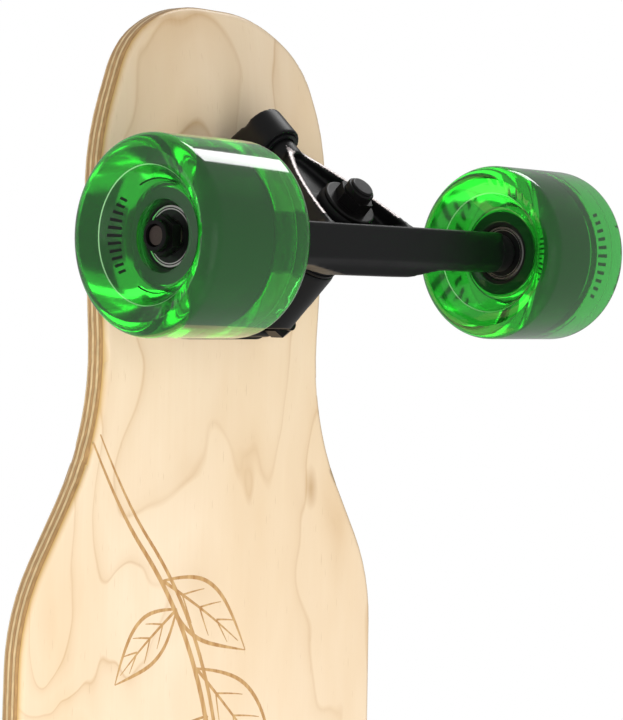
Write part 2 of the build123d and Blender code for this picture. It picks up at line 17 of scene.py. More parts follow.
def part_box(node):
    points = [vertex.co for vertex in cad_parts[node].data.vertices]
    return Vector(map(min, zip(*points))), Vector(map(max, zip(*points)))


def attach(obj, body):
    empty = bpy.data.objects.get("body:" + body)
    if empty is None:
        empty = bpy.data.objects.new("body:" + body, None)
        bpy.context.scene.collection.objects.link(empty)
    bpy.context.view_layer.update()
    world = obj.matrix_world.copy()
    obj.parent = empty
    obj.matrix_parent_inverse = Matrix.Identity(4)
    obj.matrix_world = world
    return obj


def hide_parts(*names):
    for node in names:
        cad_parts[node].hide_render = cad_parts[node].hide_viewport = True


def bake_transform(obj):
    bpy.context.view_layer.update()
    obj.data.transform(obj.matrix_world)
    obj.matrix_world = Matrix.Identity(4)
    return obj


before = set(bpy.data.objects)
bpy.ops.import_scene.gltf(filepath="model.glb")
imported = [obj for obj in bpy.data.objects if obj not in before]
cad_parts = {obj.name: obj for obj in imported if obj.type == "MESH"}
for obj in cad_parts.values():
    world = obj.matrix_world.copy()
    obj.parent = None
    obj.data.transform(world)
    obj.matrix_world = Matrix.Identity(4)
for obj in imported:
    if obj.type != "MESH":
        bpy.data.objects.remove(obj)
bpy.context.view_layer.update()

log = logging.getLogger("longboard")

MM = 0.001
WHEELBASE = 0.790
DECK_UNDERSIDE = 0.114
DECK_THICKNESS = 0.011
SWEEP_START = 0.442               # where the deck's ends begin to sweep up
SWEEP_RADIUS = 0.220              # of the sweep, at the underside
AXLE_HEIGHT = 0.035
SEAT_ANGLE = 44.0                 # tilt of the bushing seat, in degrees
RING_AHEAD = 0.01073              # middle of the seat, outward of the axle
RING_HEIGHT = 0.05196             # and above the ground

Tree = bpy.types.NodeTree
Socket = bpy.types.NodeSocket
Shape = bmesh.types.BMesh
Colour = tuple[float, float, float, float]
Point = tuple[float, float, float]
Value = Socket | float

FULL_TURN = 2 * math.pi
NEAR = 2e-5                       # points of a turned ring lie within this of its true place


class Slot(Enum):
    """The material slots of the part's record."""

    MAPLE = "maple"
    GRIP = "grip"
    RISER = "riser"
    CASTING = "truck_black"
    HARDWARE = "hardware_black"
    CUP = "cup"
    BUSHING = "bushing"
    STEEL = "steel"
    SPACER = "spacer"
    RACE = "race"
    SHIELD = "shield"
    CAGE = "cage"
    URETHANE = "urethane"
    CORE = "core"


class End(Enum):
    """The two ends of the board, each with its direction along X."""

    FRONT = 1
    REAR = -1

    @property
    def word(self) -> str:
        """The end's name in the names of pieces."""
        return self.name.lower()


class Hand(Enum):
    """The two sides of the board, each with its direction along Y."""

    LEFT = 1
    RIGHT = -1

    @property
    def word(self) -> str:
        """The side's name in the names of pieces."""
        return self.name.lower()


# ---------------------------------------------------------------- material tools
def linear(hex_text: str) -> Colour:
    """Turns an sRGB colour to linear.

    Args:
        hex_text: the colour as #RRGGBB.

    Returns:
        Linear red, green and blue, with full alpha.
    """
    channels = [int(hex_text[i:i + 2], 16) / 255 for i in (1, 3, 5)]
    flat = [c / 12.92 if c <= 0.04045 else ((c + 0.055) / 1.055) ** 2.4 for c in channels]
    return (flat[0], flat[1], flat[2], 1.0)


def grey(value: float) -> Colour:
    """A linear grey."""
    return (value, value, value, 1.0)


def add(tree: Tree, kind: str, inputs: dict | None = None, **settings: object) -> bpy.types.Node:
    """Adds a node with its settings, values and links.

    Args:
        tree: the node tree it goes into.
        kind: the node's type, without the word ShaderNode in front.
        inputs: for each input's name or number, a value, or the output that is linked to it.
        settings: the node's own properties.

    Returns:
        The new node.
    """
    node = tree.nodes.new(f"ShaderNode{kind}")
    for name, value in settings.items():
        setattr(node, name, value)
    for name, value in (inputs or {}).items():
        if isinstance(value, Socket):
            tree.links.new(value, node.inputs[name])
        else:
            node.inputs[name].default_value = value
    return node


def here(tree: Tree) -> Socket:
    """The shaded point's object coordinates, in metres."""
    return add(tree, "TexCoord").outputs["Object"]


def scaled(tree: Tree, place: Socket, scale: Point, shift: Point = (0, 0, 0)) -> Socket:
    """Multiplies coordinates by a scale, then shifts them."""
    return add(tree, "Mapping", {"Vector": place, "Scale": scale, "Location": shift}).outputs[0]


def noise(tree: Tree, place: Socket, scale: float, detail: float, roughness: float = 0.5,
          distortion: float = 0.0) -> Socket:
    """Adds a noise texture.

    Args:
        tree: the material's node tree.
        place: the coordinates.
        scale: how many lumps there are to a unit of the coordinates.
        detail: how many finer layers are added.
        roughness: how strong the finer layers are.
        distortion: how far the pattern is pulled about.

    Returns:
        The noise, about 0.5.
    """
    return add(tree, "TexNoise", {"Vector": place, "Scale": scale, "Detail": detail, "Roughness": roughness,
                                  "Distortion": distortion}).outputs["Fac"]


def spread(tree: Tree, value: Value, low: float, high: float, to_low: float = 0.0,
           to_high: float = 1.0) -> Socket:
    """Stretches the range from low to high over the range from to_low to to_high, and stops at its ends."""
    return add(tree, "MapRange", {"Value": value, 1: low, 2: high, 3: to_low, 4: to_high}).outputs[0]


def work(tree: Tree, operation: str, first: Value, second: Value | None = None) -> Socket:
    """Works on one number or two."""
    inputs = {0: first} if second is None else {0: first, 1: second}
    return add(tree, "Math", inputs, operation=operation).outputs[0]


def span(tree: Tree, level: Value, upright: Value) -> Socket:
    """Measures the slanting distance that a level one and an upright one make."""
    arm = add(tree, "CombineXYZ", {"X": level, "Z": upright})
    return add(tree, "VectorMath", {0: arm.outputs[0]}, operation="LENGTH").outputs["Value"]


def mix(tree: Tree, share: Value, first: Socket | str, second: Socket | str) -> Socket:
    """Mixes two colours, each an output or #RRGGBB; a share of 1 is all the second."""
    ends = [linear(end) if isinstance(end, str) else end for end in (first, second)]
    return add(tree, "Mix", {"Factor": share, 6: ends[0], 7: ends[1]}, data_type="RGBA").outputs[2]


def ramp(tree: Tree, value: Value, *stops: tuple[float, float]) -> Socket:
    """Turns a number to a grey through stops, each a place and the grey there."""
    node = add(tree, "ValToRGB", {"Fac": value})
    elements = node.color_ramp.elements
    while len(elements) < len(stops):
        elements.new(0.5)
    for element, (place, level) in zip(elements, stops):
        element.position = place
        element.color = grey(level)
    return node.outputs["Color"]


def bump(tree: Tree, height: Value, strength: float, distance: float) -> Socket:
    """Bends the shading normal by a height; the distance is in metres."""
    return add(tree, "Bump", {"Height": height, "Strength": strength, "Distance": distance}).outputs[0]


def skin(tree: Tree, colour: Socket, roughness: Value, **inputs: Value) -> Socket:
    """Makes the surface shader; underscores in the names of further inputs stand for spaces."""
    named = {name.replace("_", " "): value for name, value in inputs.items()}
    return add(tree, "BsdfPrincipled", {"Base Color": colour, "Roughness": roughness, **named}).outputs[0]


def axle_radius(tree: Tree, place: Socket) -> Socket:
    """Measures the distance from the nearer axle line.

    Args:
        tree: the material's node tree.
        place: the object coordinates.

    Returns:
        The distance, in metres.
    """
    axes = add(tree, "SeparateXYZ", {"Vector": place})
    ahead = work(tree, "SUBTRACT", work(tree, "ABSOLUTE", axes.outputs["X"]), WHEELBASE / 2)
    return span(tree, ahead, work(tree, "SUBTRACT", axes.outputs["Z"], AXLE_HEIGHT))


@dataclass(frozen=True)
class Finish:
    """A surface finish: the base of every material here."""

    name: str

    def shade(self, tree: Tree) -> Socket:
        """Builds the shader; each finish has its own."""
        raise NotImplementedError

    def volume(self, tree: Tree) -> Socket | None:
        """Builds what fills the body; most finishes are opaque and have nothing."""
        return None

    def material(self) -> bpy.types.Material:
        """Returns the material of this finish, made on first use."""
        known = bpy.data.materials.get(self.name)
        if known:
            return known
        made = bpy.data.materials.new(self.name)
        made.use_nodes = True
        tree = made.node_tree
        tree.nodes.clear()
        output = add(tree, "OutputMaterial", {"Surface": self.shade(tree)})
        body = self.volume(tree)
        if body:
            tree.links.new(body, output.inputs["Volume"])
        return made


@dataclass(frozen=True)
class PressedMaple(Finish):
    """Rotary-cut hard maple veneers pressed into a deck, sanded and sprayed with clear lacquer.

    The peeled face gives long soft growth lines that close into loops, and the cut rim gives a
    stripe for every veneer, the cross-laid ones darker because they show end grain.
    """

    name: str = "Pressed maple veneer, lacquered"
    pale: str = "#F7E2C5"
    warm: str = "#ECD0AA"
    growth: str = "#C2955A"
    fleck: str = "#D3B48A"
    mineral: str = "#B98F5A"
    rim_long: str = "#E8CB98"
    rim_cross: str = "#BE9562"
    glue: str = "#9A6B45"
    # colour of the rounded edge: the veneer below the thinned face, darkened as painted shade
    sanded_edge_and_shade: str = "#CDA560"
    veneers: int = 8
    streak: tuple[float, float] = (0.2945, 0.0590)      # X and Y of a mineral streak, in metres
    streak_scale: tuple[float, float] = (160.0, 330.0)  # how short it is in X and in Y

    def figure(self, tree: Tree, place: Socket) -> Socket:
        """Colours the face veneer.

        Args:
            tree: the material's node tree.
            place: the object coordinates.

        Returns:
            The colour of the face.
        """
        # growth contours lie 10 to 40 mm apart across the board and run on for hundreds
        slow = scaled(tree, place, (6.0, 11.0, 0.0), (3.1, 0.4, 0))
        rings = work(tree, "MULTIPLY", noise(tree, slow, 1.0, 3.0, 0.35, 0.5), 9.0)
        late = ramp(tree, work(tree, "FRACT", rings), (0.0, 0.90), (0.05, 0.40), (0.20, 0.16), (0.50, 0.0),
                    (0.95, 0.10), (1.0, 0.80))
        fade = noise(tree, scaled(tree, place, (7.0, 18.0, 0.0)), 1.0, 2.0)
        line = work(tree, "MULTIPLY", late, spread(tree, fade, 0.36, 0.64, 0.20, 0.72))
        # cloudy change of tone over 60 mm and more
        cloud = noise(tree, scaled(tree, place, (4.5, 15.0, 0.0), (0, 2, 0)), 1.0, 4.0, 0.6)
        base = mix(tree, spread(tree, cloud, 0.3, 0.72), self.pale, self.warm)
        lined = mix(tree, line, base, self.growth)
        # fibres 1 to 2 mm apart, drawn coarser than the real 0.1 mm so that they show
        fibre = noise(tree, scaled(tree, place, (14.0, 620.0, 0.0)), 1.0, 3.0, 0.7)
        combed = mix(tree, spread(tree, fibre, 0.35, 0.75, 0.0, 0.22), lined, self.warm)
        # short dark flecks, 2 to 6 mm long
        speck = noise(tree, scaled(tree, place, (150.0, 1500.0, 0.0)), 1.0, 0.0)
        flecked = mix(tree, spread(tree, speck, 0.76, 0.84, 0.0, 0.40), combed, self.fleck)
        # one small mineral streak near the shoulder of the underside, as hard maple often has
        shift = [-spot * scale for spot, scale in zip(self.streak, self.streak_scale)]
        streak = scaled(tree, place, (*self.streak_scale, 0.0), (*shift, 0))
        bend = add(tree, "TexNoise", {"Vector": place, "Scale": 55.0, "Detail": 3.0}).outputs["Color"]
        bent = add(tree, "VectorMath", {0: streak, 1: bend}, operation="ADD").outputs[0]
        away = add(tree, "VectorMath", {0: bent, 1: (0.5, 0.5, 0.5)}, operation="DISTANCE").outputs["Value"]
        return mix(tree, spread(tree, away, 0.15, 1.5, 0.60, 0.0), flecked, self.mineral)

    def depth(self, tree: Tree, place: Socket) -> Socket:
        """Measures how deep in the pressed stack a point lies, in veneers, along the swept ends too.

        Args:
            tree: the material's node tree.
            place: the object coordinates.

        Returns:
            The depth above the underside, in veneers.
        """
        axes = add(tree, "SeparateXYZ", {"Vector": place})
        past = work(tree, "SUBTRACT", work(tree, "ABSOLUTE", axes.outputs["X"]), SWEEP_START)
        drop = work(tree, "SUBTRACT", DECK_UNDERSIDE + SWEEP_RADIUS, axes.outputs["Z"])
        reach = span(tree, work(tree, "MAXIMUM", past, 0.0), drop)
        rise = work(tree, "SUBTRACT", SWEEP_RADIUS, reach)
        return work(tree, "MULTIPLY", rise, self.veneers / DECK_THICKNESS)

    def rim(self, tree: Tree, place: Socket, depth: Socket) -> Socket:
        """Colours the cut rim, with its veneers and glue lines.

        Args:
            tree: the material's node tree.
            place: the object coordinates.
            depth: the depth in the stack, in veneers.

        Returns:
            The colour of the rim.
        """
        layer = work(tree, "ADD", depth, spread(tree, noise(tree, place, 90.0, 2.0), 0.0, 1.0, -0.12, 0.12))
        cross = work(tree, "GREATER_THAN", work(tree, "FLOORED_MODULO", layer, 2.0), 1.0)
        bands = mix(tree, cross, self.rim_long, self.rim_cross)
        pores = noise(tree, scaled(tree, place, (260.0, 260.0, 1400.0)), 1.0, 2.0)
        pore = spread(tree, pores, 0.3, 0.7, 0.75, 1.1)
        worn = add(tree, "VectorMath", {0: bands, "Scale": pore}, operation="SCALE").outputs[0]
        seam = ramp(tree, work(tree, "FRACT", layer), (0.0, 0.8), (0.10, 0.35), (0.2, 0.0), (0.84, 0.0),
                    (0.93, 0.4), (1.0, 0.8))
        return mix(tree, seam, worn, self.glue)

    def shade(self, tree: Tree) -> Socket:
        """Joins the face and the rim under one clear lacquer."""
        place = here(tree)
        face = self.figure(tree, place)
        depth = self.depth(tree, place)
        # the rounded edge sands the face veneer thin and the veneer below shows through it, with painted
        # shade added on the rounded edge
        edge = mix(tree, spread(tree, depth, 0.03, 0.95), face, self.sanded_edge_and_shade)
        normal = add(tree, "NewGeometry").outputs["Normal"]
        facing = add(tree, "SeparateXYZ", {"Vector": normal}).outputs["Z"]
        upright = spread(tree, work(tree, "ABSOLUTE", facing), 0.93, 0.75)
        side = mix(tree, upright, face, self.rim(tree, place, depth))
        colour = mix(tree, work(tree, "LESS_THAN", depth, 1.0), side, edge)
        grain = noise(tree, scaled(tree, place, (30.0, 900.0, 900.0)), 1.0, 3.0)
        return skin(tree, colour, spread(tree, grain, 0.0, 1.0, 0.34, 0.50), IOR=1.5, Coat_Weight=0.25,
                    Coat_Roughness=0.18, Normal=bump(tree, grain, 0.12, 0.12 * MM))


@dataclass(frozen=True)
class BurntMaple(Finish):
    """Maple scorched by an engraving laser: a shallow matt line, browner than the bare veneer."""

    name: str = "Laser-engraved maple"
    scorch: str = "#CFA873"
    deep: str = "#B2834F"

    def shade(self, tree: Tree) -> Socket:
        """Varies the scorch along the grain."""
        grain = noise(tree, scaled(tree, here(tree), (45.0, 420.0, 1.0)), 1.0, 3.0)
        return skin(tree, mix(tree, spread(tree, grain, 0.35, 0.7), self.scorch, self.deep), 0.6)


@dataclass(frozen=True)
class GritPaper(Finish):
    """Silicon carbide grit glued to black cloth: matt, with a painted glint on a few grains."""

    name: str = "Silicon carbide grip tape"
    ground: str = "#0E0E0F"
    grain: str = "#3A3B3D"

    def shade(self, tree: Tree) -> Socket:
        """Strews grains about 1 mm apart, coarser than 80 grit so that they show."""
        place = here(tree)
        grit = add(tree, "TexVoronoi", {"Vector": place, "Scale": 900.0}, feature="F1").outputs["Distance"]
        heap = spread(tree, grit, 0.0, 0.6, 1.0, 0.0)
        tone = spread(tree, noise(tree, place, 9.0, 4.0), 0.3, 0.7, 0.1, 0.5)
        # the grains are painted lighter toward their middles: partly their own grey, partly a painted glint
        colour = mix(tree, work(tree, "MULTIPLY", heap, tone), self.ground, self.grain)
        return skin(tree, colour, 0.85, Normal=bump(tree, heap, 0.9, 0.4 * MM))


@dataclass(frozen=True)
class Coating(Finish):
    """An opaque dark skin on metal, rubber or plastic: powder coat, black oxide or moulded surface."""

    name: str = "Powder-coated aluminium casting"
    dark: str = "#070708"
    light: str = "#0F0F10"
    metallic: float = 0.0
    ior: float = 1.5
    smooth: float = 0.34
    rough: float = 0.46
    pitch: float = 1.8            # spacing of the orange peel or moulding texture, in millimetres
    relief: float = 0.02          # its height, in millimetres

    def shade(self, tree: Tree) -> Socket:
        """Mixes a fine skin texture with slow patches of handling."""
        place = here(tree)
        peel = noise(tree, place, 1000.0 / self.pitch, 2.0)
        patch = noise(tree, place, 60.0, 4.0, 0.6)
        gloss = spread(tree, patch, 0.3, 0.7, self.smooth, self.rough)
        return skin(tree, mix(tree, patch, self.dark, self.light), gloss, Metallic=self.metallic,
                    IOR=self.ior, Normal=bump(tree, peel, 0.5, self.relief * MM))


@dataclass(frozen=True)
class TurnedSteel(Finish):
    """Turned or ground steel: bright, with fine rings about the axle that draw out its reflections."""

    name: str = "Ground bearing steel"
    pale: str = "#F2EFEC"
    dull: str = "#D8D4D0"
    smooth: float = 0.20
    rough: float = 0.36

    def shade(self, tree: Tree) -> Socket:
        """Lays rings 0.25 mm apart about the axle line."""
        radius = axle_radius(tree, here(tree))
        rings = add(tree, "TexNoise", {"W": radius, "Scale": 4000.0, "Detail": 2.0},
                    noise_dimensions="1D").outputs["Fac"]
        gloss = spread(tree, rings, 0.0, 1.0, self.smooth, self.rough)
        return skin(tree, mix(tree, rings, self.pale, self.dull), gloss, Metallic=1.0,
                    Normal=bump(tree, rings, 0.15, 0.02 * MM))


@dataclass(frozen=True)
class CastUrethane(Finish):
    """Clear urethane tinted green, cast in a polished mould and faced on a lathe.

    It is glossy and clear, its colour deepens with thickness, and the lathe leaves fine rings.
    """

    name: str = "Cast urethane, clear green"
    tint: str = "#4DB85A"
    # tint of the painted highlight ring at the dish's edge
    highlight_ring_tint: str = "#A9DDA4"
    body: tuple[float, float, float] = (0.10, 0.90, 0.12)
    density: float = 38.0
    pitch: float = 0.8            # distance between the lathe's rings, in millimetres
    edge: float = 0.0240          # radius of a pale, less clear ring painted round the dish's edge: a painted highlight
    clear: float = 0.90           # the rest scatters, because cast urethane is faintly cloudy
    ior: float = 1.49

    def shade(self, tree: Tree) -> Socket:
        """Refracts through a skin with fine lathe rings, with a painted highlight ring at the dish's edge."""
        place = here(tree)
        radius = axle_radius(tree, place)
        ridge = work(tree, "SINE", work(tree, "MULTIPLY", radius, 2 * math.pi / (self.pitch * MM)))
        gloss = spread(tree, noise(tree, place, 40.0, 3.0), 0.0, 1.0, 0.04, 0.12)
        # a pale, cloudier ring about 0.2 mm wide at the dish's edge: a painted highlight
        near = work(tree, "ABSOLUTE", work(tree, "SUBTRACT", radius, self.edge))
        highlight_ring_mask = spread(tree, near, 0.22 * MM, 0.08 * MM)
        through = spread(tree, highlight_ring_mask, 0.0, 1.0, self.clear, 0.25)
        return skin(tree, mix(tree, highlight_ring_mask, self.tint, self.highlight_ring_tint), gloss, IOR=self.ior,
                    Transmission_Weight=through, Coat_Weight=0.6, Coat_Roughness=0.02,
                    Normal=bump(tree, ridge, 0.10, 0.01 * MM))

    def volume(self, tree: Tree) -> Socket | None:
        """Absorbs red and blue on the way through."""
        inputs = {"Color": (*self.body, 1.0), "Density": self.density}
        return add(tree, "VolumeAbsorption", inputs).outputs[0]


@dataclass(frozen=True)
class StudioFloor(Finish):
    """Matt pale studio floor, seen only from above."""

    name: str = "Pale studio floor"
    pale: str = "#F2F2F0"
    dull: str = "#EEEEEC"

    def shade(self, tree: Tree) -> Socket:
        """Shows the upper side and lets the lower side vanish."""
        upper = skin(tree, mix(tree, noise(tree, here(tree), 2.0, 3.0), self.pale, self.dull), 0.9)
        under = add(tree, "BsdfTransparent").outputs[0]
        back = add(tree, "NewGeometry").outputs["Backfacing"]
        return add(tree, "MixShader", {0: back, 1: upper, 2: under}).outputs[0]


MAPLE = PressedMaple()
SCORCH = BurntMaple()
GRIP = GritPaper()
CASTING = Coating(ior=1.4)
# pale metal on the hanger's pocket rim: a painted highlight along its edge
RIM_HIGHLIGHT = Coating("Pale pocket rim, painted highlight", "#B9AEAC", "#D8D0CE", 0.75, 1.5, 0.30, 0.45, 0.5,
                 0.004)
HARDWARE = Coating("Black oxide steel", "#0A0A0B", "#1E1C1C", 0.6, 1.5, 0.26, 0.42, 0.9, 0.012)
RUBBER = Coating("Moulded rubber riser", "#0C0C0C", "#161616", 0.0, 1.5, 0.55, 0.75, 0.7, 0.03)
CUP = Coating("Nylon pivot cup", "#0D0D0E", "#17171A", 0.0, 1.53, 0.35, 0.5, 1.0, 0.01)
BUSHING = Coating("Cast urethane bushing, black", "#070708", "#0E0E0F", 0.0, 1.5, 0.45, 0.6, 2.5, 0.02)
SEAL = Coating("Black nitrile seal", "#080808", "#121213", 0.0, 1.5, 0.35, 0.5, 0.6, 0.01)
CORE = Coating("Glass-filled nylon core", "#0A0B0A", "#161816", 0.0, 1.53, 0.30, 0.45, 0.8, 0.02)
CAGE = Coating("Nylon ball cage", "#8C7A52", "#A08C60", 0.0, 1.53, 0.4, 0.5, 1.0, 0.01)
INK = Coating("Pad-printed black ink", "#060807", "#0B0E0C", 0.0, 1.5, 0.3, 0.4, 0.8, 0.004)
RACE = TurnedSteel()
AXLE_STEEL = TurnedSteel("Zinc-plated steel", "#7E716A", "#564C47", 0.34, 0.5)
URETHANE = CastUrethane()
FLOOR = StudioFloor()


# ---------------------------------------------------------------- mesh tools
def dress(node: str, finish: Finish) -> None:
    """Gives a CAD node its finish."""
    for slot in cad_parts[node].material_slots:
        slot.material = finish.material()
    log.info("dressed %s in %s", node, finish.name)


def put(name: str, data: bpy.types.ID) -> bpy.types.Object:
    """Puts an object with the given data into the scene."""
    made = bpy.data.objects.new(name, data)
    bpy.context.scene.collection.objects.link(made)
    return made


def harden(name: str, shape: Shape) -> bpy.types.Mesh:
    """Turns a bmesh to a mesh and frees it."""
    mesh = bpy.data.meshes.new(name)
    shape.to_mesh(mesh)
    shape.free()
    return mesh


def gather(whole: Shape, mesh: bpy.types.Mesh) -> None:
    """Takes a mesh into a bmesh and removes it."""
    whole.from_mesh(mesh)
    bpy.data.meshes.remove(mesh)


def realise(source: bpy.types.Object) -> Shape:
    """Works out an object's curve or modifiers as a bmesh, and removes the object."""
    bpy.context.view_layer.update()
    worked = source.evaluated_get(bpy.context.evaluated_depsgraph_get())
    mesh = bpy.data.meshes.new_from_object(worked)
    bpy.data.objects.remove(source)
    shape = bmesh.new()
    gather(shape, mesh)
    return shape


def turn(shape: Shape, angle: float, axis: str) -> None:
    """Turns a mesh about an axis through the origin, by an angle in radians."""
    bmesh.ops.rotate(shape, cent=(0, 0, 0), matrix=Matrix.Rotation(angle, 3, axis), verts=shape.verts[:])


def make_piece(name: str, shape: Shape, finish: Finish, body: str | None,
               smooth_angle: float = 32.0) -> bpy.types.Object:
    """Turns a finished bmesh to a shown piece.

    Args:
        name: the piece's name.
        shape: the mesh, in its place; it is freed here.
        finish: the surface finish.
        body: the body it rides on, or None to leave it unattached.
        smooth_angle: edges sharper than this, in degrees, stay sharp.

    Returns:
        The new object.
    """
    for face in shape.faces:
        face.smooth = True
    mesh = harden(name, shape)
    mesh.set_sharp_from_angle(angle=math.radians(smooth_angle))
    mesh.materials.append(finish.material())
    piece = put(name, mesh)
    if body:
        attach(piece, body)
    log.info("built %s with %d faces", name, len(mesh.polygons))
    return piece


def tidy(shape: Shape) -> None:
    """Merges doubles and turns every face outward."""
    bmesh.ops.remove_doubles(shape, verts=shape.verts[:], dist=1e-6)
    bmesh.ops.recalc_face_normals(shape, faces=shape.faces[:])


def lathe(profile: list[tuple[float, float]], steps: int, angle: float = FULL_TURN) -> Shape:
    """Spins a closed outline about the Y axis.

    Args:
        profile: the corners of the outline, each its radius and its place on the axis.
        steps: how many segments the turn has.
        angle: how far it turns, in radians.

    Returns:
        The turned mesh, about the origin.
    """
    shape = bmesh.new()
    corners = [shape.verts.new((radius, along, 0.0)) for radius, along in profile]
    for here, there in zip(corners, corners[1:] + corners[:1]):
        shape.edges.new((here, there))
    full = angle == FULL_TURN
    bmesh.ops.spin(shape, geom=shape.verts[:] + shape.edges[:], cent=(0, 0, 0), axis=(0, 1, 0),
                   dvec=(0, 0, 0), angle=angle, steps=steps, use_merge=full, use_duplicate=False)
    if not full:
        rims = [edge for edge in shape.edges if edge.is_boundary]
        bmesh.ops.holes_fill(shape, edges=rims, sides=0)
    tidy(shape)
    return shape


def ring_edges(shape: Shape, radius: float, along: float) -> list[bmesh.types.BMEdge]:
    """Finds the edges of one ring of a turned mesh.

    Args:
        shape: a mesh turned about the Y axis.
        radius: the ring's radius.
        along: its place on the axis.

    Returns:
        The ring's edges.
    """
    def on_ring(vert: bmesh.types.BMVert) -> bool:
        """Tells whether a point lies on the ring."""
        off = math.hypot(vert.co.x, vert.co.z) - radius
        return abs(off) < NEAR and abs(vert.co.y - along) < NEAR

    return [edge for edge in shape.edges if all(on_ring(vert) for vert in edge.verts)]


def round_ring(shape: Shape, ring: tuple[float, float], size: float, segments: int) -> None:
    """Rounds one ring of a turned mesh, given by its radius and its place, with a bevel."""
    bmesh.ops.bevel(shape, geom=ring_edges(shape, *ring), offset=size, offset_type="OFFSET",
                    segments=segments, profile=0.5, affect="EDGES", clamp_overlap=True, material=-1)


def merged_copy(node: str) -> Shape:
    """Copies a CAD node's loose triangles into one merged mesh."""
    shape = bmesh.new()
    shape.from_mesh(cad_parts[node].data)
    bmesh.ops.remove_doubles(shape, verts=shape.verts[:], dist=2e-6)
    return shape


# ---------------------------------------------------------------- the deck
@dataclass
class Deck:
    """The pressed deck, its grip tape and the engraved spray of leaves on its underside."""

    line: float = 0.0008          # half the width of an engraved line
    sink: float = 0.00004         # how far the scorch stands off the lacquer
    body: str = "board"

    def build(self) -> None:
        """Dresses the CAD deck and engraves it."""
        dress("deck", MAPLE)
        dress("grip_tape", GRIP)
        for end in End:
            self.engrave(end)

    def strokes(self) -> list[list[Point]]:
        """Draws a generic spray: one bent stem with slender leaves.

        Returns:
            For each stroke, its points: X, Y, and the line's width there as a share of the full width.
        """
        stem = [(0.318, -0.067, 0.5), (0.290, -0.052, 1.0), (0.262, -0.028, 1.3), (0.232, -0.011, 1.4),
                (0.196, 0.001, 1.5), (0.150, 0.006, 1.5), (0.100, 0.000, 1.3), (0.050, -0.012, 1.0),
                (0.012, -0.030, 0.4)]
        lines = [stem, [(x + 0.0030, y + 0.0036, w * 0.8) for x, y, w in stem[:-1]]]
        leaves = ((0.262, -0.028, 62.0, 0.058, 0.012), (0.250, -0.020, -58.0, 0.042, 0.010),
                  (0.225, -0.008, 48.0, 0.074, 0.015), (0.205, -0.001, -50.0, 0.064, 0.014),
                  (0.176, 0.004, 38.0, 0.082, 0.017), (0.150, 0.006, -44.0, 0.072, 0.015),
                  (0.118, 0.003, 30.0, 0.078, 0.016), (0.090, -0.002, -40.0, 0.066, 0.013),
                  (0.060, -0.010, 24.0, 0.060, 0.012))
        for leaf in leaves:
            lines += self.leaf(*leaf)
        return lines

    def leaf(self, x: float, y: float, lean: float, length: float, half: float) -> list[list[Point]]:
        """Draws one slender leaf with its midrib and side veins.

        Args:
            x: where it leaves the stem.
            y: where it leaves the stem.
            lean: its direction, in degrees from the tail of the board.
            length: its length.
            half: half its width.

        Returns:
            Its strokes.
        """
        ahead = Vector((-math.cos(math.radians(lean)), math.sin(math.radians(lean))))
        aside = Vector((-ahead.y, ahead.x))
        foot = Vector((x, y))

        def at(along: float, across: float, width: float) -> Point:
            """A point of the leaf from its own lengths."""
            place = foot + ahead * along * length + aside * across * half
            return (place.x, place.y, width)

        sweep = 0.35 if lean > 0 else -0.35
        edges = [[at(0, 0, 0.6), at(0.22, s * 0.75 + sweep * 0.1, 1.0), at(0.5, s + sweep * 0.3, 1.1),
                  at(0.8, s * 0.5 + sweep * 0.8, 0.9), at(1, sweep * 1.4, 0.3)] for s in (-1, 1)]
        midrib = [at(0, 0, 0.9), at(0.35, sweep * 0.15, 0.7), at(0.7, sweep * 0.6, 0.5), at(0.9, sweep, 0.25)]
        veins = []
        for step in (0.22, 0.42, 0.62):
            for s in (-1, 1):
                reach = s * (0.62 if step < 0.6 else 0.4)
                veins.append([at(step, sweep * step * 0.6, 0.5),
                              at(step + 0.10, reach * 0.6 + sweep * step * 0.7, 0.45),
                              at(step + 0.18, reach + sweep * step * 0.9, 0.2)])
        return edges + [midrib] + veins

    def engrave(self, end: End) -> None:
        """Lays the strokes of one end on the underside as thin scorched lines."""
        curve = bpy.data.curves.new(f"{end.word}_engraving_line", "CURVE")
        curve.dimensions = "3D"
        curve.bevel_depth = self.line
        curve.bevel_resolution = 1
        curve.use_fill_caps = True
        curve.resolution_u = 6
        for stroke in self.strokes():
            spline = curve.splines.new("NURBS")
            spline.points.add(len(stroke) - 1)
            for point, (x, y, width) in zip(spline.points, stroke):
                point.co = (x, y, 0.0, 1.0)
                point.radius = width
            spline.order_u = 3
            spline.use_endpoint_u = True
        shape = realise(put(curve.name, curve))
        tidy(shape)
        bmesh.ops.scale(shape, vec=(1, 1, self.sink / self.line), verts=shape.verts[:])
        if end is End.REAR:
            turn(shape, math.pi, "Z")
        bmesh.ops.translate(shape, vec=(0, 0, DECK_UNDERSIDE), verts=shape.verts[:])
        make_piece(f"{end.word}_engraving", shape, SCORCH, self.body)


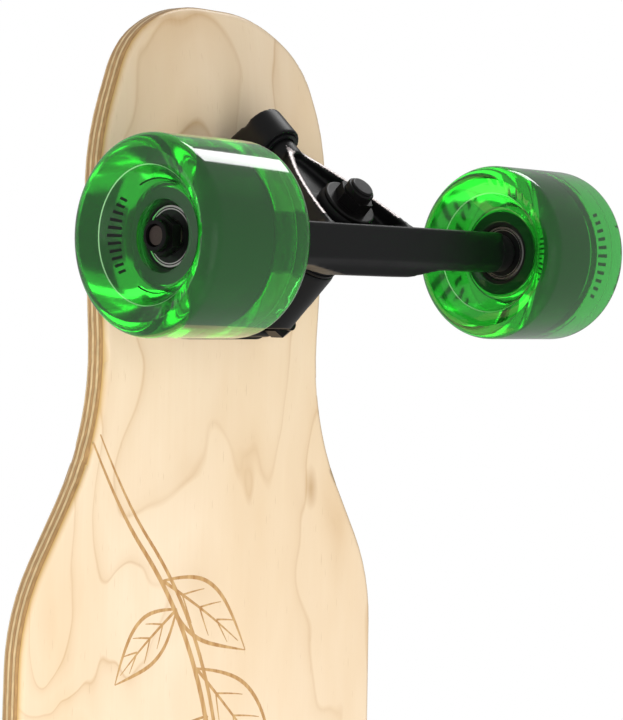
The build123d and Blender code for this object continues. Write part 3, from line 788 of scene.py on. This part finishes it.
# ---------------------------------------------------------------- a truck
@dataclass
class Truck:
    """One cast truck with its kingpin stack, axle and mounting hardware."""

    end: End
    voxel: float = 0.0007         # grid of the softened castings
    passes: int = 3               # how many times their points are smoothed
    floor: float = 0.0005         # the deepened pocket's floor, behind the middle of the web
    mouth: float = 0.012          # how far the pocket's cutter reaches in front of that middle
    board_press: float = 0.008    # half the height over which each bushing squashes
    road_press: float = 0.00225
    rim_foot: tuple[float, float] = (0.009, AXLE_HEIGHT)   # outward of the axle, and above the ground
    rim_tip: tuple[float, float] = (0.0381, 0.0762)
    rim_band: float = 0.0007      # faces this near the rim's plane belong to it
    rim_clear: float = 0.004      # the rim starts this far above the axle
    finishes: dict[str, Finish] = field(default_factory=lambda: {
        "riser": RUBBER, "pivot_cup": CUP, "kingpin": HARDWARE, "board_washer": HARDWARE,
        "road_washer": HARDWARE, "kingpin_nut": HARDWARE, "axle": AXLE_STEEL, "speed_rings": AXLE_STEEL,
        "axle_nuts": HARDWARE, "bearing_spacers": AXLE_STEEL, "inner_races": RACE,
        "mounting_bolts": HARDWARE, "mounting_nuts": HARDWARE,
    })

    @property
    def kingpin(self) -> Vector:
        """The direction of the kingpin, from the board toward the road."""
        tilt = math.radians(SEAT_ANGLE)
        return Vector((self.end.value * math.sin(tilt), 0, -math.cos(tilt)))

    def build(self) -> None:
        """Builds the castings and bushings, and dresses the rest."""
        for word, finish in self.finishes.items():
            dress(f"{self.end.word}_{word}", finish)
        self.cast("hanger", f"{self.end.word}_truck", self.pocket_cutter())
        self.cast("baseplate", "board")
        self.press("board_bushing", True)
        self.press("road_bushing", False)

    def cast(self, word: str, body: str, cutter: bpy.types.Object | None = None) -> None:
        """Softens a machined casting to the rounded edges of a sand-blasted, coated one.

        Args:
            word: the casting's name.
            body: the body it rides on.
            cutter: what deepens its pocket, if it has one; its rim then gets a pale metal finish as a painted
                highlight, and the cutter is removed.
        """
        node = f"{self.end.word}_{word}"
        rough = put(f"{node}_rough", harden(f"{node}_rough", merged_copy(node)))
        if cutter:
            deepen = rough.modifiers.new("Pocket", "BOOLEAN")
            deepen.operation = "DIFFERENCE"
            deepen.solver = "EXACT"
            deepen.object = cutter
        grid = rough.modifiers.new("Grid", "REMESH")
        grid.mode = "VOXEL"
        grid.voxel_size = self.voxel
        shape = realise(rough)
        for _ in range(self.passes):
            bmesh.ops.smooth_vert(shape, verts=shape.verts[:], factor=0.5,
                                  use_axis_x=True, use_axis_y=True, use_axis_z=True)
        rim = self.find_rim(shape) if cutter else []
        piece = make_piece(f"{node}_casting", shape, CASTING, body, 180.0)
        if cutter:
            bpy.data.objects.remove(cutter)
            # the pocket's rim faces take the pale metal finish, a painted highlight
            piece.data.materials.append(RIM_HIGHLIGHT.material())
        for number in rim:
            piece.data.polygons[number].material_index = 1
        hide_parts(node)

    def pocket_cutter(self) -> bpy.types.Object:
        """Makes the block that deepens the pocket toward its top, where a sand core left it hollow.

        Returns:
            The cutter, in its place.
        """
        corners = ((0.0115, 0.0140), (0.0200, 0.0098), (0.0270, 0.0058), (0.0325, 0.0022))
        shape = bmesh.new()
        outline = [*corners, *((along, -half) for along, half in reversed(corners))]
        face = shape.faces.new([shape.verts.new((along, across, -self.floor)) for along, across in outline])
        raised = bmesh.ops.extrude_face_region(shape, geom=[face])
        top = [item for item in raised["geom"] if isinstance(item, bmesh.types.BMVert)]
        bmesh.ops.translate(shape, vec=(0, 0, self.mouth + self.floor), verts=top)
        tidy(shape)
        tilt = math.radians(SEAT_ANGLE)
        side = self.end.value
        seat = Vector((side * math.cos(tilt), 0, math.sin(tilt)))
        ring = Vector((side * (WHEELBASE / 2 + RING_AHEAD), 0, RING_HEIGHT))
        stand = Matrix((seat, self.kingpin.cross(seat), self.kingpin)).transposed().to_4x4()
        stand.translation = ring
        bmesh.ops.transform(shape, matrix=stand, verts=shape.verts[:])
        return put("pocket_cutter", harden("pocket_cutter", shape))

    def find_rim(self, shape: Shape) -> list[int]:
        """Finds the faces of the flat rim round the hanger's pocket, which get a pale metal finish as a
        painted highlight.

        Args:
            shape: the softened hanger.

        Returns:
            The numbers of the rim's faces.
        """
        side = self.end.value
        foot, tip = (Vector((side * (WHEELBASE / 2 + out), 0, up))
                     for out, up in (self.rim_foot, self.rim_tip))
        along = (tip - foot).normalized()
        facing = Vector((side * along.z, 0, -abs(along.x)))
        shape.faces.ensure_lookup_table()
        rim = []
        for face in shape.faces:
            middle = face.calc_center_median()
            flat = face.normal.dot(facing) > 0.8 and abs((middle - foot).dot(facing)) < self.rim_band
            if flat and middle.z > AXLE_HEIGHT + self.rim_clear:
                rim.append(face.index)
        return rim

    def press(self, word: str, board_side: bool) -> None:
        """Makes a smooth-shaded copy of a bushing and hides its CAD node.

        Args:
            word: the bushing's name.
            board_side: True for the bushing between the board and the seat.
        """
        node = f"{self.end.word}_{word}"
        shape = merged_copy(node)
        piece = make_piece(f"{node}_urethane", shape, BUSHING, None)
        truck = f"{self.end.word}_truck"
        if board_side:
            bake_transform(piece)
        else:
            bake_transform(piece)
        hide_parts(node)


# ---------------------------------------------------------------- a wheel
@dataclass
class Wheel:
    """One wheel: a clear urethane tyre cast over a black core with two sealed bearings."""

    end: End
    hand: Hand
    radius: float = 0.035
    half_width: float = 0.0255
    lip: float = 0.0053           # rounding of the tread's edges
    dish: float = 0.024           # radius of the step round the sunk face
    slope: float = 0.018          # where the sunk face starts to rise
    bore: float = 0.0126
    core: float = 0.0170
    core_half: float = 0.0125
    face_half: float = 0.0145
    rise: float = 0.0003          # height of the slope's foot over the bore's mouth
    climb: float = 0.005          # height of the step's foot
    crest: float = 0.007          # height of the step's head
    tread: float = 0.0015         # width of the step
    inset: float = 0.0014         # how far the core sits inboard of the wheel's middle
    overlap: float = 0.0001       # the tyre reaches into the core, as urethane bonded to it looks
    seat: float = 0.011           # radius of the bearing seats
    seat_round: float = 0.0005
    rib: float = 0.008            # inner radius of the rib between the bearings
    rib_half: float = 0.005
    print_radius: float = 0.0204  # middle of the printed bars
    print_lift: float = 0.00005   # half the thickness of the ink
    steps: int = 160
    finishes: dict[str, Finish] = field(default_factory=lambda: {
        "outer_races": RACE, "balls": RACE, "cages": CAGE,
    })

    @property
    def name(self) -> str:
        """The wheel's name, such as front_left."""
        return f"{self.end.word}_{self.hand.word}"

    def place(self, shape: Shape) -> None:
        """Moves a mesh made about the origin, outer face toward +Y, to the wheel's place."""
        low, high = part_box(f"{self.name}_tyre")
        if self.hand is Hand.RIGHT:
            turn(shape, math.pi, "Z")
        bmesh.ops.translate(shape, vec=(low + high) / 2, verts=shape.verts[:])

    def build(self) -> None:
        """Builds the tyre, core and print, and dresses the bearings."""
        for word, finish in self.finishes.items():
            dress(f"{self.name}_{word}", finish)
        self.build_tyre()
        self.build_core()
        self.build_seals()
        self.build_print()

    def build_tyre(self) -> None:
        """Turns the tyre's section and rounds its rings."""
        outer = self.core_half - self.inset - self.overlap
        inner = -self.core_half - self.inset + self.overlap
        wall = self.core - self.overlap
        mouth = (self.bore, self.face_half)
        foot = (self.slope, self.face_half + self.rise)
        ledge = (self.dish - self.tread, self.face_half + self.climb)
        head = (self.dish, self.face_half + self.crest)
        edge = (self.radius, self.half_width)
        side = [mouth, foot, ledge, head, (self.radius - self.lip, self.half_width), edge]
        profile = [(wall, inner), (wall, outer), (self.bore, outer), *side]
        profile += [(r, -y) for r, y in reversed(side)] + [(self.bore, inner)]
        shape = lathe(profile, self.steps)
        roundings = ((edge, self.lip, 10), (head, 0.0006, 3), (ledge, 0.0009, 3), (foot, 0.0012, 3),
                     (mouth, 0.0004, 3))
        for sign in (-1, 1):
            for (radius, along), size, segments in roundings:
                round_ring(shape, (radius, sign * along), size, segments)
        self.place(shape)
        piece = make_piece(f"{self.name}_cast_tyre", shape, URETHANE,
                           f"{self.name}_wheel", 60.0)
        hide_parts(f"{self.name}_tyre")

    def build_core(self) -> None:
        """Turns the core, with its two bearing seats and the rib between them."""
        half = [(self.rib, self.rib_half), (self.seat, self.rib_half),
                (self.seat, self.core_half - self.seat_round),
                (self.seat + self.seat_round, self.core_half), (self.core, self.core_half)]
        shape = lathe(half + [(r, -y) for r, y in reversed(half)], self.steps)
        bmesh.ops.translate(shape, vec=(0, -self.inset, 0), verts=shape.verts[:])
        self.place(shape)
        piece = make_piece(f"{self.name}_moulded_core", shape, CORE, f"{self.name}_wheel")
        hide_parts(f"{self.name}_core")

    def build_seals(self) -> None:
        """Presses a dished black seal into both faces of the bearings, inside a thin bright race."""
        profile = ((0.0062, 0.0117), (0.0100, 0.0117), (0.0100, 0.01205), (0.0092, 0.01195), (0.0070, 0.0118),
                   (0.0062, 0.0120))
        seals = bmesh.new()
        for sign in (-1, 1):
            ring = lathe([(radius, sign * along) for radius, along in profile], 96)
            gather(seals, harden("seal", ring))
        bmesh.ops.translate(seals, vec=(0, -self.inset, 0), verts=seals.verts[:])
        self.place(seals)
        piece = make_piece(f"{self.name}_seals", seals, SEAL, f"{self.name}_wheel")
        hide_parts(f"{self.name}_shields")

    def build_print(self) -> None:
        """Prints plain arcs and a graduated row of bars on the outer dish, all of them generic."""
        whole = bmesh.new()
        grade = (self.climb - self.rise) / (self.dish - self.tread - self.slope)

        def stroke(inner: float, outer: float, start: float, sweep: float) -> None:
            """Adds one printed stroke between two radii, from an angle, over an angle in degrees."""
            low, high = (self.face_half + self.rise + (radius - self.slope) * grade
                         for radius in (inner, outer))
            lift = self.print_lift
            outline = [(inner, low + lift), (outer, high + lift), (outer, high - lift), (inner, low - lift)]
            bar = lathe(outline, max(2, round(abs(sweep) / 3)), math.radians(sweep))
            turn(bar, math.radians(start), "Y")
            gather(whole, harden("stroke", bar))

        for middle in (90.0, 270.0):
            stroke(0.0194, 0.0198, middle + 62.0, 56.0)
            for count in range(-5, 6):
                half = (0.0010 + 0.0026 * (1 - abs(count) / 7)) / 2
                stroke(self.print_radius - half, self.print_radius + half, middle + count * 7.5 - 1.5, 3.0)
        self.place(whole)
        make_piece(f"{self.name}_print", whole, INK, f"{self.name}_wheel")


# ---------------------------------------------------------------- the studio
@dataclass
class Studio:
    """The pale floor, the soft lights and the camera."""

    camera_place: Vector = field(default_factory=lambda: Vector((0.37574, -0.63929, -0.49813)))
    camera_aim: Vector = field(default_factory=lambda: Vector((0.35108, -0.00392, 0.060)))
    camera_roll: float = 1.3743   # in degrees
    lens: float = 109.784         # in millimetres, on a sensor 36 mm wide
    floor_half: float = 14.0      # half the side of the floor
    fill: float = 0.36            # how bright the white surroundings are as a light

    def build(self) -> None:
        """Sets up everything that isn't the board."""
        self.lay_floor()
        self.paint_sky()
        self.hang_lights()
        self.place_camera()
        bpy.context.scene.view_settings.view_transform = "Standard"

    def lay_floor(self) -> None:
        """Lays a wide floor under the wheels that casts nothing on the underside."""
        shape = bmesh.new()
        bmesh.ops.create_grid(shape, x_segments=1, y_segments=1, size=self.floor_half)
        floor = put("studio_floor", harden("studio_floor", shape))
        floor.data.materials.append(FLOOR.material())
        floor.visible_diffuse = False
        floor.visible_glossy = False
        floor.visible_transmission = False
        floor.visible_shadow = False

    def paint_sky(self) -> None:
        """Surrounds the board with plain white, dimmer where it only lights the surfaces."""
        world = bpy.data.worlds.new("studio")
        bpy.context.scene.world = world
        world.use_nodes = True
        tree = world.node_tree
        tree.nodes.clear()
        path = add(tree, "LightPath")
        seen = work(tree, "MAXIMUM", path.outputs["Is Camera Ray"], path.outputs["Is Transmission Ray"])
        fill, white = (add(tree, "Background", {"Color": grey(1.0), "Strength": strength}).outputs[0]
                       for strength in (self.fill, 1.0))
        both = add(tree, "MixShader", {0: seen, 1: fill, 2: white}).outputs[0]
        add(tree, "OutputWorld", {"Surface": both})

    def hang(self, name: str, place: Point, aim: Point, size: tuple[float, float], power: float,
             mirrored: bool = False) -> None:
        """Hangs one softbox.

        Args:
            name: the light's name.
            place: where it hangs.
            aim: the point it faces.
            size: its width and height.
            power: its power in watts.
            mirrored: True if it is seen in gloss, False if it only fills.
        """
        lamp = bpy.data.lights.new(name, "AREA")
        lamp.shape = "RECTANGLE"
        lamp.size, lamp.size_y = size
        lamp.energy = power
        light = put(name, lamp)
        light.location = place
        light.rotation_euler = (Vector(aim) - Vector(place)).to_track_quat("-Z", "Y").to_euler()
        light.visible_glossy = mirrored

    def hang_lights(self) -> None:
        """Hangs the softboxes: three for the picture from below and two for the views from above."""
        self.hang("nose softbox", (1.25, 0.64, 0.19), (0.25, 0.64, 0.19), (0.70, 0.33), 3.7, mirrored=True)
        self.hang("front softbox", (0.05, -0.9, -1.2), (0.15, 0.0, 0.1), (1.2, 1.2), 22.0)
        self.hang("tail softbox", (-0.9, -0.3, -0.9), (0.1, 0.0, 0.1), (0.9, 0.9), 10.0)
        self.hang("top softbox", (0.4, -0.8, 1.8), (0.0, 0.0, 0.1), (1.6, 1.6), 26.0)
        self.hang("left softbox", (-0.6, 1.6, 0.9), (0.0, 0.0, 0.1), (1.2, 1.2), 14.0)

    def place_camera(self) -> None:
        """Stands the camera low beside the nose, looking up at the underside."""
        lens = bpy.data.cameras.new("camera")
        lens.lens = self.lens
        lens.sensor_width = 36.0
        lens.clip_start = 0.01
        camera = put("camera", lens)
        ahead = (self.camera_aim - self.camera_place).normalized()
        right = ahead.cross(Vector((1, 0, 0))).normalized()
        up = right.cross(ahead)
        stand = Matrix((right, up, -ahead)).transposed().to_4x4()
        stand.translation = self.camera_place
        camera.matrix_world = stand @ Matrix.Rotation(math.radians(self.camera_roll), 4, "Z")
        bpy.context.scene.camera = camera


def main() -> None:
    """Builds the board from the deck down, then the studio."""
    logging.basicConfig(level=logging.INFO, format="%(message)s")
    Deck().build()
    for end in End:
        Truck(end).build()
        for hand in Hand:
            Wheel(end, hand).build()
    Studio().build()


if __name__ == "__main__":
    main()
